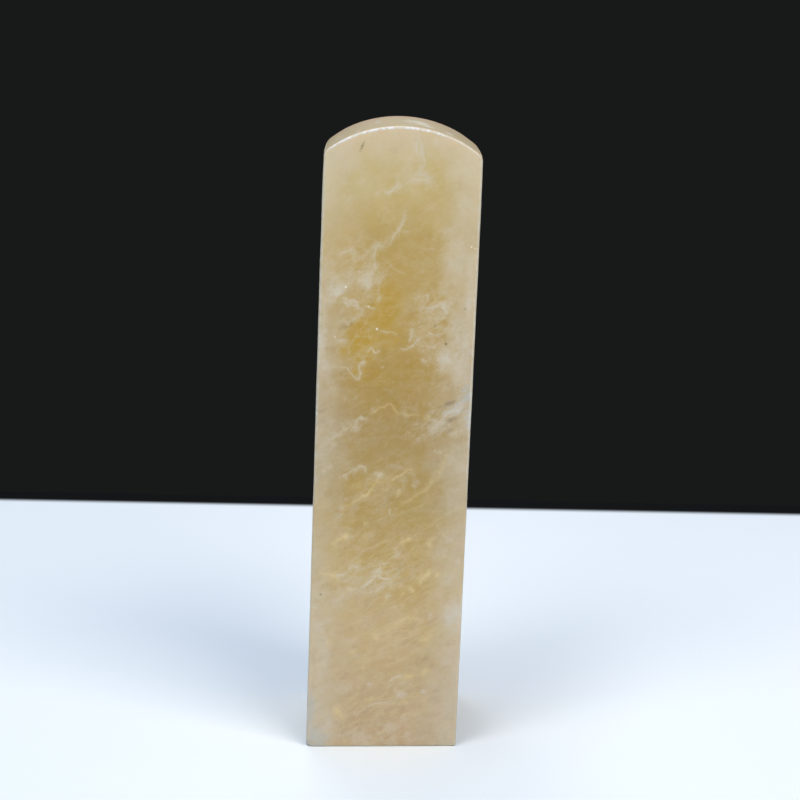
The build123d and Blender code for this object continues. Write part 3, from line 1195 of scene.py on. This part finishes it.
# %% Choose the layers' strengths
# Where each mask starts to rise and where it is full, in the units of what it is made from.
RISES = {
    "calm": (66.0, 84.0),
    "middle milk": (45.0, 65.0),
    "top milk": (70.0, 84.0),
    "edge glow": (4.5, 13.5),
    "blush": (0.5, 0.7),
    "pink part": (62.0, 20.0),
    "pale lumps": (0.03, 0.3),
    "tan lumps": (0.02, 0.3),
    "gold": (0.0, 1.1),
    "milk": (0.05, 1.1),
    "streaked": (16.0, 30.0),
    "grey": (0.15, 1.1),
    "frost": (0.0, 0.2),
    "brown": (0.15, 1.3),
    "net": (-0.1, 0.15),
    "lower half": (60.0, 30.0),
    "pale sheets": (0.52, 0.75),
    "tan sheets": (0.48, 0.25),
    "grit": (0.05, 0.3),
    "back of crown": (1.0, 12.0),
    "crown patches": (0.0, 0.85),
    # The beads of the painted highlight on the crown's front rim.
    "beads": (0.42, 0.58),
    "edge sheen": (35.0, 60.0),
    "ground": (0.35 * MM, 0.08 * MM),
}
# How strongly each layer covers what lies under it where its mask is full.
STRENGTHS = {
    "edge glow": 0.5,
    "blush": 0.35,
    "pale lumps": 0.3,
    "tan lumps": 0.3,
    "milk": 0.85,
    "grey": 0.9,
    "frost": 0.7,
    "haze": 0.4,
    "wisps": 0.5,
    "net": 0.32,
    "pale sheets": 0.32,
    "tan sheets": 0.22,
    "threads": 0.36,
    "grit": 0.14,
    "branches": 0.3,
    "crown patches": 0.8,
    "shaded rim": 0.6,
    "edge sheen": 0.8,
    "ground": 0.6,
}
print("layers with a strength of their own:", len(STRENGTHS))

# %% Choose the specks
# Each speck: the pixel of its middle, its size in millimetres and how strong it is.
DARK_SPECKS = {
    "scratch, top": ((364.4, 141.5), 0.16, 0.3),
    "scratch, upper": ((363.4, 143.8), 0.18, 0.5),
    "scratch, middle": ((362.4, 146.0), 0.22, 0.65),
    "scratch, lower": ((361.4, 148.4), 0.2, 0.5),
    "scratch, foot": ((360.4, 151.0), 0.2, 0.25),
    "right of core": ((446, 344), 0.2, 0.75),
    "core's right": ((435, 326), 0.2, 0.45),
    "right, faint": ((465, 309), 0.25, 0.3),
    "left, low": ((320.6, 594.5), 0.2, 0.6),
}
WHITE_SPECKS = {
    "core": ((377, 329), 0.2, 0.9),
    "left of core": ((345.8, 287), 0.18, 0.9),
    "spark": ((368.5, 306.5), 0.14, 0.7),
    "right edge": ((471.5, 247), 0.16, 0.8),
    "right edge, tail": ((475, 248.5), 0.14, 0.5),
    "right edge, tail's end": ((477.5, 249), 0.14, 0.4),
    "left wisp": ((335, 337), 0.18, 0.4),
    "right edge, chip": ((476.4, 300), 0.3, 0.9),
    "right edge, second chip": ((475.2, 326), 0.22, 0.7),
    # The white speck at the chip on the left edge is a painted glint.
    "left edge, chip's glint": ((315.2, 413.5), 0.34, 0.9),
}


# %% Read the stone's own coordinates
# Each noise of the stone: its grain in millimetres, its detail and its roughness.
STONE_NOISES = {
    "drift": (9.0, 3.0, 0.55),
    "clouds": (3.4, 5.0, 0.62),
    "mottle": (1.1, 4.0, 0.65),
    "grit": (0.35, 2.0, 0.6),
}
# Each slanting noise: its grain in millimetres along three axes, its detail and its roughness.
SLANTING_NOISES = {
    "streaks": ((3.0, 2.0, 0.7), 4.0, 0.62),
    "sheets": ((3.4, 3.0, 1.2), 4.0, 0.55),
    "wisps": ((6.0, 5.0, 3.0), 5.0, 0.6),
    "haze": ((7.0, 6.0, 4.0), 7.0, 0.66),
    "threads": ((4.5, 3.0, 1.4), 4.0, 0.55),
    "branches": ((2.4, 2.0, 1.3), 5.0, 0.62),
}
# Each ragged line: the level of its slanting noise that it follows, and its width there.
CONTOURS = {
    "wisps": (0.5, 0.018),
    "haze": (0.54, 0.05),
    "threads": (0.5, 0.03),
    "branches": (0.5, 0.028),
}
NET_GRAIN = (5.5, 5.0, 3.4)
SLANT_TIP = 0.35
CALMING = 0.6


class StoneRecipe(Recipe):
    """A recipe that knows where it is on the bar, in millimetres, and has the stone's noises."""

    def __init__(self, tree):
        super().__init__(tree)
        self.place = self.add("ShaderNodeTexCoord", output="Object")
        values = {"Vector": self.place, "Rotation": (0, -LEAN, 0), "Scale": (1 / MM, 1 / MM, 1 / MM)}
        self.where = self.add("ShaderNodeMapping", values=values)
        self.across, self.depth, self.along = self.parts(self.where)
        self.drift, self.clouds, self.mottle, self.grit = (
            self.noise(self.where, *noise) - 0.5 for noise in STONE_NOISES.values())
        self.calm = 1.0 - self.rise("calm", self.along) * CALMING
        self.crown, self.rim, self.upright = self.stored("edges")
        milk_below = self.mixed(self.rise("middle milk", self.along), MILK_LOW, MILK_MIDDLE)
        self.milk = self.mixed(self.rise("top milk", self.along), milk_below, MILK_TOP)

    def rise(self, name, value):
        """A mask that rises where the table says."""
        return value.between(*RISES[name])

    def laid(self, layer, mask, under, over):
        """A layer of colour, laid where its mask says and as strongly as the table says."""
        return self.mixed(mask * STRENGTHS[layer], under, over)

    def slanted(self, grain):
        """The place measured along slanting axes, each in units of its own grain."""
        values = {"Vector": self.where, "Rotation": (0, -RISE_ANGLE, SLANT_TIP), "Scale": grain}
        return self.add("ShaderNodeMapping", {"vector_type": "TEXTURE"}, values)

    def slanting(self, name):
        """One of the slanting noises, about 0.5."""
        grain, detail, rough = SLANTING_NOISES[name]
        return self.noise(self.slanted(grain), 1.0, detail, rough)

    def contour(self, name):
        """A ragged line where a slanting noise crosses a level: a bell of its distance from it."""
        level, width = CONTOURS[name]
        return ((self.slanting(name) - level) / width).bell()

    def cells(self, where, width):
        """A net of thin lines along the borders of cells."""
        settings = {"feature": "DISTANCE_TO_EDGE"}
        border = self.add("ShaderNodeTexVoronoi", settings, {"Vector": where, "Scale": 1.0})
        return (border / width).bell()


# %% Colour the body
BODY_DRIFT = 16.0
EDGE_DRIFT = 9.0
EDGE_CLOUDS = 4.0
BLUSH_NOISE = (2.3, 3.0, 0.55)
BLUSH_ABOVE = 0.3
LUMPY_MOTTLE = 0.5


def body_colour(recipe):
    """The colour along the bar, painted milkier near the edges as painted light, with a pink blush and
    mottled all through.
    """
    height = (recipe.along + recipe.drift * BODY_DRIFT) / (BAR_LENGTH / MM)
    colour = recipe.add("ShaderNodeValToRGB", {"stops": BODY_STOPS}, {0: height})
    # Near the upright edges the colour is painted milkier: painted light, for light that gets in from two
    # sides.
    near_edge = recipe.across.size().at_most(recipe.depth.size())
    milky = near_edge + recipe.drift * EDGE_DRIFT + recipe.clouds * EDGE_CLOUDS
    colour = recipe.laid("edge glow", recipe.rise("edge glow", milky), colour, recipe.milk)
    blush = recipe.rise("blush", recipe.noise(recipe.where, *BLUSH_NOISE))
    pink_part = recipe.rise("pink part", recipe.along).lifted(BLUSH_ABOVE)
    colour = recipe.laid("blush", blush * pink_part, colour, PINK_BLUSH)
    lumps = recipe.clouds + recipe.mottle * LUMPY_MOTTLE
    colour = recipe.laid("pale lumps", recipe.rise("pale lumps", lumps), colour, recipe.milk)
    hollows = recipe.rise("tan lumps", -lumps)
    return recipe.laid("tan lumps", hollows * recipe.calm, colour, DEEP_TAN)


# %% Add the clouds
TORN_BY_CLOUDS = 2.0
TORN_BY_MOTTLE = 1.6
GOLD_TORN = 1.3
MILK_TORN = 1.2
GREY_TORN = 0.8
GREY_STREAKS = 4.0
FROST_STREAKS = 1.5
BROWN_BASE = 1.1
BROWN_STREAKS = 6.0


def clouded(recipe, colour):
    """Gold, brown, milk and grey clouds, each broken up by the stone's own mottling."""
    milk, gold, grey = recipe.stored("zones")
    brown, busy, flecked = recipe.stored("stains")
    torn = (recipe.clouds * TORN_BY_CLOUDS + recipe.mottle * TORN_BY_MOTTLE) * recipe.calm
    streaks = recipe.slanting("streaks") - 0.5
    golden = recipe.rise("gold", gold * (1.0 + torn * GOLD_TORN))
    colour = recipe.mixed(golden, colour, GOLD_CORE)
    milky = recipe.rise("milk", milk * (1.0 + torn * MILK_TORN))
    colour = recipe.laid("milk", milky, colour, recipe.milk)
    streaked = recipe.rise("streaked", recipe.along)
    shreds = 1.0 + torn * GREY_TORN + streaks * streaked * GREY_STREAKS
    shredded = recipe.rise("grey", grey * shreds)
    colour = recipe.laid("grey", shredded, colour, CLOUD_GREY)
    frost = recipe.rise("frost", streaks * FROST_STREAKS + recipe.grit) * streaked
    colour = recipe.laid("frost", shredded * frost, colour, CLOUD_WHITE)
    smoky = recipe.rise("brown", brown * (BROWN_BASE + torn - streaks * BROWN_STREAKS))
    return recipe.mixed(smoky, colour, SMOKE_BROWN), busy, flecked


# %% Add wisps and sheets
BEND_SCALE = 0.45
BEND_DETAIL = 4.0
NET_WIDTH = 0.045
WHERE_QUIET = 0.2
IN_UPPER_HALF = 0.2


def wisped(recipe, colour, busy, flecked):
    """Ragged pale wisps where the stone is busy, and soft slanting sheets in its lower half."""
    values = {"Vector": recipe.where, "Scale": BEND_SCALE, "Detail": BEND_DETAIL}
    bend = recipe.add("ShaderNodeTexNoise", values=values, output="Color")
    bent = {0: recipe.slanted(NET_GRAIN), 1: bend}
    warped = recipe.add("ShaderNodeVectorMath", {"operation": "ADD"}, bent)
    net = recipe.cells(warped, NET_WIDTH) * recipe.rise("net", recipe.clouds)
    quiet = busy.lifted(WHERE_QUIET)
    colour = recipe.laid("haze", recipe.contour("haze") * quiet, colour, recipe.milk)
    colour = recipe.laid("wisps", recipe.contour("wisps") * quiet, colour, VEIN_CREAM)
    colour = recipe.laid("net", net * busy, colour, VEIN_CREAM)
    sheets = recipe.slanting("sheets")
    lower = recipe.rise("lower half", recipe.along).lifted(IN_UPPER_HALF)
    colour = recipe.laid("pale sheets", recipe.rise("pale sheets", sheets) * lower, colour, STRAW)
    colour = recipe.laid("tan sheets", recipe.rise("tan sheets", sheets) * lower, colour, DEEP_TAN)
    colour = recipe.laid("threads", recipe.contour("threads") * flecked, colour, STRAW)
    return recipe.laid("grit", recipe.rise("grit", recipe.grit.size()), colour, recipe.milk)


# %% Add veins and specks
FRAYED_BY_MOTTLE = 5.0
FRAYED_BY_GRIT = 2.0
SKIRT_ASIDE = 0.8
CORE_SHARE = 0.72
SKIRT_SHARE = 0.32
PATCHY_CLOUDS = 1.6
PATCHY_MOTTLE = 1.8
PATCHY_BASE = 0.95
LEAST_LEFT = 0.5
SPECK_EDGE = 1.5
SPECK_HEART = 0.3


def vein_mask(recipe, sort, spread):
    """A ragged line with a soft skirt: a narrow bell, and a wide one set to one side of it."""
    distance, strength, tint = recipe.stored(sort)
    distance = distance + recipe.mottle * FRAYED_BY_MOTTLE + recipe.grit * FRAYED_BY_GRIT
    aside = distance + SKIRT_ASIDE
    skirt = (-(aside * aside * spread)).exponential()
    patchy = recipe.clouds * PATCHY_CLOUDS + recipe.mottle * PATCHY_MOTTLE + PATCHY_BASE
    shape = distance.bell() * CORE_SHARE + skirt * SKIRT_SHARE
    return shape * strength * patchy.at_least(LEAST_LEFT), tint, strength


def veined(recipe, colour):
    """The three sorts of vein, the softest first, and fine branches close beside each."""
    # Each sort: how steeply its soft skirt falls, then its usual and its brighter colour.
    sorts = {
        "ribbons": (0.25, recipe.milk, VEIN_CREAM),
        "flecks": (0.2, STRAW, FLECK_GOLD),
        "threads": (0.2, VEIN_CREAM, VEIN_WHITE),
    }
    branches = recipe.contour("branches")
    for sort, (spread, pale, bright) in sorts.items():
        mask, tint, strength = vein_mask(recipe, sort, spread)
        colour = recipe.laid("branches", strength * branches, colour, pale)
        colour = recipe.mixed(mask, colour, recipe.mixed(tint, pale, bright))
    return colour


def speck_mask(recipe, specks):
    """For every place, the strength of the speck it lies in, with a soft edge."""
    mask = 0.0
    for pixel, size, strength in specks.values():
        across, along = on_front([pixel])[0]
        centre = (float(across), -HALF_DEPTH / MM, float(along))
        distance = recipe.add("ShaderNodeVectorMath", {"operation": "DISTANCE"},
                              {0: recipe.where, 1: centre}, output="Value")
        spot = distance.between(size * SPECK_EDGE, size * SPECK_HEART)
        mask = (spot * strength).at_least(mask)
    return mask


# %% [markdown]
# ## Crown and edges
# The crown is painted paler than the sides, which is painted light, and has a
# few whiter patches. Along part of its front rim a line of white beads is a
# painted highlight, and its rims carry painted shade. The upright edges carry
# a painted sheen in their upper part.

# %% Finish the crown and the edges
# Where the painted highlight on the crown's front rim starts and ends, and the noise of its beads.
HIGHLIGHT_PIXELS = [(330, 148), (443, 134)]
HIGHLIGHT_STARTS = np.array([-0.5, 0.5])
HIGHLIGHT_ENDS = np.array([0.8, -0.4])
CROWN_LIGHT_COVER = 0.65
PATCH_CLOUDS = 2.5
PATCH_MOTTLE = 2.0
BEAD_NOISE = (0.7, 1.0, 0.5)
BETWEEN_BEADS = 0.3
SHEEN_BASE = 0.6
SHEEN_MOTTLE = 2.0


def edged(recipe, colour):
    """A crown painted paler as painted light and pinker towards the back, painted shade on its rims, a
    painted highlight along the front rim, and a painted sheen on the upright edges.
    """
    # The crown is painted paler than the body as painted light, in a colour that turns pink towards the
    # back.
    pale = recipe.mixed(recipe.rise("back of crown", recipe.depth), CROWN_PAINTED_LIGHT, CROWN_PINK_LIT)
    colour = recipe.mixed(recipe.crown * (CROWN_LIGHT_COVER + recipe.clouds), colour, pale)
    broken = 1.0 + recipe.clouds * PATCH_CLOUDS + recipe.mottle * PATCH_MOTTLE
    patches = recipe.rise("crown patches", recipe.stored("patches")[0] * broken)
    colour = recipe.laid("crown patches", recipe.crown * patches, colour, CROWN_WHITE)
    (left, _), (right, _) = on_front(HIGHLIGHT_PIXELS)
    # A line of white beads painted along the front rim between two pixel columns: a painted highlight.
    highlight_span = (recipe.across.between(*(left + HIGHLIGHT_STARTS))
               * recipe.across.between(*(right + HIGHLIGHT_ENDS)))
    beads = recipe.rise("beads", recipe.noise(recipe.where, *BEAD_NOISE)).lifted(BETWEEN_BEADS)
    # The crown's rims are darkened all along: painted shade against the lamps' light on them.
    colour = recipe.laid("shaded rim", recipe.rim, colour, RIM_SHADE)
    colour = recipe.mixed(recipe.rim * highlight_span * beads, colour, RIM_HIGHLIGHT)
    # The upper part of the upright edges is painted paler, patchy with the mottling: a painted sheen.
    patchy = (SHEEN_BASE + recipe.mottle * SHEEN_MOTTLE).at_most(1.0)
    sheen_mask = recipe.upright * recipe.rise("edge sheen", recipe.along) * patchy
    return recipe.laid("edge sheen", sheen_mask, colour, EDGE_SHEEN)


# %% Mix the stone
POLISH = 0.13
FINEST_POLISH = 0.06
POLISH_MOTTLE = 0.08
POLISH_CLOUDS = 0.06
SATIN_CROWN = 0.16
FROSTED_RIM = 0.38
GROUND_FOOT = 0.45
RELIEF_MOTTLE = 0.5
RELIEF_GRIT = 0.25
RELIEF_GROUND = 4.0
RELIEF_STRENGTH = 0.12
RELIEF_HEIGHT = 0.1 * MM
WAXED_STONE = {
    "IOR": 1.54,
    "Subsurface Weight": 0.25,
    "Subsurface Radius": (1.0, 0.6, 0.35),
    "Subsurface Scale": 2.5 * MM,
    "Coat Weight": 0.03,
    "Coat Roughness": 0.25,
}


def stone_roughness(recipe, ground):
    """Polished all over, satin on the crown, rough where its rims turn, and matt on the foot.

    crown * (1 - crown) * 4 is 1 where the crown's mask is half way up, which is along its rims.
    """
    uneven = (recipe.mottle * POLISH_MOTTLE + recipe.clouds * POLISH_CLOUDS) * (1.0 - recipe.crown)
    satin = recipe.crown * (1.0 - recipe.rim) * SATIN_CROWN
    frosting = (recipe.crown * (1.0 - recipe.crown) * 4.0).at_least(recipe.rim) * FROSTED_RIM
    return (POLISH + uneven + satin).at_least(FINEST_POLISH) + ground * GROUND_FOOT + frosting


def stone_finish():
    """The waxed stone, from its body colour out to its shine."""
    material = bpy.data.materials.new("waxed_stone")
    material.use_nodes = True
    recipe = StoneRecipe(material.node_tree)
    colour = body_colour(recipe)
    colour, busy, flecked = clouded(recipe, colour)
    colour = wisped(recipe, colour, busy, flecked)
    colour = veined(recipe, colour)
    colour = edged(recipe, colour)
    colour = recipe.mixed(speck_mask(recipe, DARK_SPECKS), colour, SPECK_DARK)
    colour = recipe.mixed(speck_mask(recipe, WHITE_SPECKS), colour, SPECK_WHITE)

    ground = recipe.rise("ground", recipe.parts(recipe.place)[2])
    colour = recipe.laid("ground", ground, colour, GROUND_PALE)
    relief = (recipe.mottle * RELIEF_MOTTLE + recipe.grit * RELIEF_GRIT
              + ground * recipe.grit * RELIEF_GROUND)
    normal = recipe.add("ShaderNodeBump", values={
        "Strength": RELIEF_STRENGTH,
        "Distance": RELIEF_HEIGHT,
        "Height": relief,
    })
    shader = recipe.add("ShaderNodeBsdfPrincipled", values={
        "Base Color": colour,
        "Roughness": stone_roughness(recipe, ground),
        "Normal": normal,
        **WAXED_STONE,
    })
    recipe.add("ShaderNodeOutputMaterial", values={0: shader})
    return material


stone.data.materials.append(stone_finish())
print("nodes in the stone's finish:", len(stone.data.materials[0].node_tree.nodes))

# %% [markdown]
# ## The table
# The stone stands on a pale, faintly blue table whose far edge shows behind
# it. Past that edge there is only dark. The table is a stage, not a part of
# the stone. Its edge is out of focus in the photograph, so the colour falls
# off over a few millimetres there.

# %% Lay the table
TABLE_EDGE_PIXELS = [(0, 500), (800, 515)]
TABLE_REACH = 260 * MM
TABLE_FRONT = -260 * MM
TABLE_FAR = paint(249, 254, 255)
TABLE_NEAR = paint(225, 236, 245)
NIGHT = paint(24, 25, 25)
EDGE_SOFTNESS = 4.0
SHADE_REACH = 260.0
TABLE_STEPS = 40

edge_left, edge_right = pixels_on_plane(TABLE_EDGE_PIXELS, 2, 0.0)
edge_run = (edge_right - edge_left) / np.linalg.norm(edge_right - edge_left)
edge_out = np.array([-edge_run[1], edge_run[0], 0.0])
edge_far = float(edge_left @ edge_out)
places_across = np.linspace(-TABLE_REACH, TABLE_REACH, TABLE_STEPS + 1)
shares_back = np.linspace(0, 1, TABLE_STEPS + 1)
reach_back = edge_far + 2 * EDGE_SOFTNESS * MM
places_back = TABLE_FRONT + shares_back * (reach_back - TABLE_FRONT)
table_grid = places_across[:, None, None] * edge_run + places_back[None, :, None] * edge_out
table_numbers = np.arange(table_grid[..., 0].size).reshape(table_grid.shape[:2])
table = mesh_piece("table", table_grid.reshape(-1, 3), grid_quads(table_numbers))


def table_finish():
    """Matt and pale up to the far edge, painted paler towards it as painted light that evens out the
    lamps, and night beyond it.
    """
    material = bpy.data.materials.new("pale_table")
    material.use_nodes = True
    recipe = Recipe(material.node_tree)
    place = recipe.add("ShaderNodeTexCoord", output="Object")
    outwards = recipe.add("ShaderNodeVectorMath", {"operation": "DOT_PRODUCT"},
                          {0: place, 1: tuple(edge_out / MM)}, output="Value")
    past_edge = outwards - edge_far / MM
    # Paler towards the far edge: painted light that evens out the lamps' fall-off over the table.
    pale = recipe.mixed(past_edge.between(-SHADE_REACH, 0.0), TABLE_NEAR, TABLE_FAR)
    dark = past_edge.between(-EDGE_SOFTNESS / 2, EDGE_SOFTNESS / 2)
    colour = recipe.mixed(dark, pale, NIGHT)
    shader = recipe.add("ShaderNodeBsdfDiffuse", values={"Color": colour})
    recipe.add("ShaderNodeOutputMaterial", values={0: shader})
    return material


table.data.materials.append(table_finish())
print("far edge of the table, mm behind the stone's middle:", round(edge_far / MM, 1))

# %% [markdown]
# ## Light
# Two soft boxes stand in front, one on each side. They model the upright
# edges and throw the two soft shadows. A long light overhead fills the table
# and the crown, and a weak one behind keeps the back from going dull. The room
# is dark to the eye and in reflections, and a cool glow fills the shadows.

# %% Hang the lights
SOFT_WARM = (1.0, 0.885, 0.745)
# Each lamp: its place, what it faces and its width and height, all in millimetres, then its
# energy in watts and its colour.
LAMPS = {
    "left_box": ((-205, -255, 380), (0, 0, 40), (260, 260), 0.85, SOFT_WARM),
    "right_box": ((205, -255, 380), (0, 0, 40), (260, 260), 1.52, SOFT_WARM),
    "overhead": ((-60, 15, 470), (0, 0, 90), (400, 70), 0.59, (1.0, 1.0, 0.97)),
    "back_box": ((-40, 330, 400), (0, 0, 50), (300, 200), 0.41, (1.0, 0.91, 0.8)),
}
GLOW = paint(96, 178, 255)
GLOW_STRENGTH = 0.33


def lamp(name, place, target, size, energy, colour):
    """A rectangular soft light at a place, facing a target, both in millimetres."""
    light = bpy.data.lights.new(name, "AREA")
    light.shape = "RECTANGLE"
    light.size = size[0] * MM
    light.size_y = size[1] * MM
    light.energy = energy
    light.color = colour
    lamp_object = bpy.data.objects.new(name, light)
    place = np.array(place, float) * MM
    away = place - np.array(target, float) * MM
    lamp_object.location = place
    flat = math.hypot(away[0], away[1])
    lamp_object.rotation_euler = (math.atan2(flat, away[2]), 0, math.atan2(away[0], -away[1]))
    bpy.context.scene.collection.objects.link(lamp_object)


for name, lamp_settings in LAMPS.items():
    lamp(name, *lamp_settings)
print("lamps:", list(LAMPS))


# %% Darken the room
def night_world():
    """A glow for lighting, and night for every ray that could show it."""
    world = bpy.data.worlds.new("night")
    bpy.context.scene.world = world
    world.use_nodes = True
    recipe = Recipe(world.node_tree)
    seen, mirrored, through = (
        recipe.add("ShaderNodeLightPath", output=ray)
        for ray in ("Is Camera Ray", "Is Glossy Ray", "Is Transmission Ray"))
    shown = (seen + mirrored + through).at_most(1.0)
    glow = recipe.add("ShaderNodeBackground", values={"Color": GLOW, "Strength": GLOW_STRENGTH})
    night = recipe.add("ShaderNodeBackground", values={"Color": NIGHT, "Strength": 1.0})
    chosen = recipe.add("ShaderNodeMixShader", values={0: shown, 1: glow, 2: night})
    recipe.add("ShaderNodeOutputWorld", values={0: chosen})


night_world()
print("nodes in the world:", len(bpy.context.scene.world.node_tree.nodes))
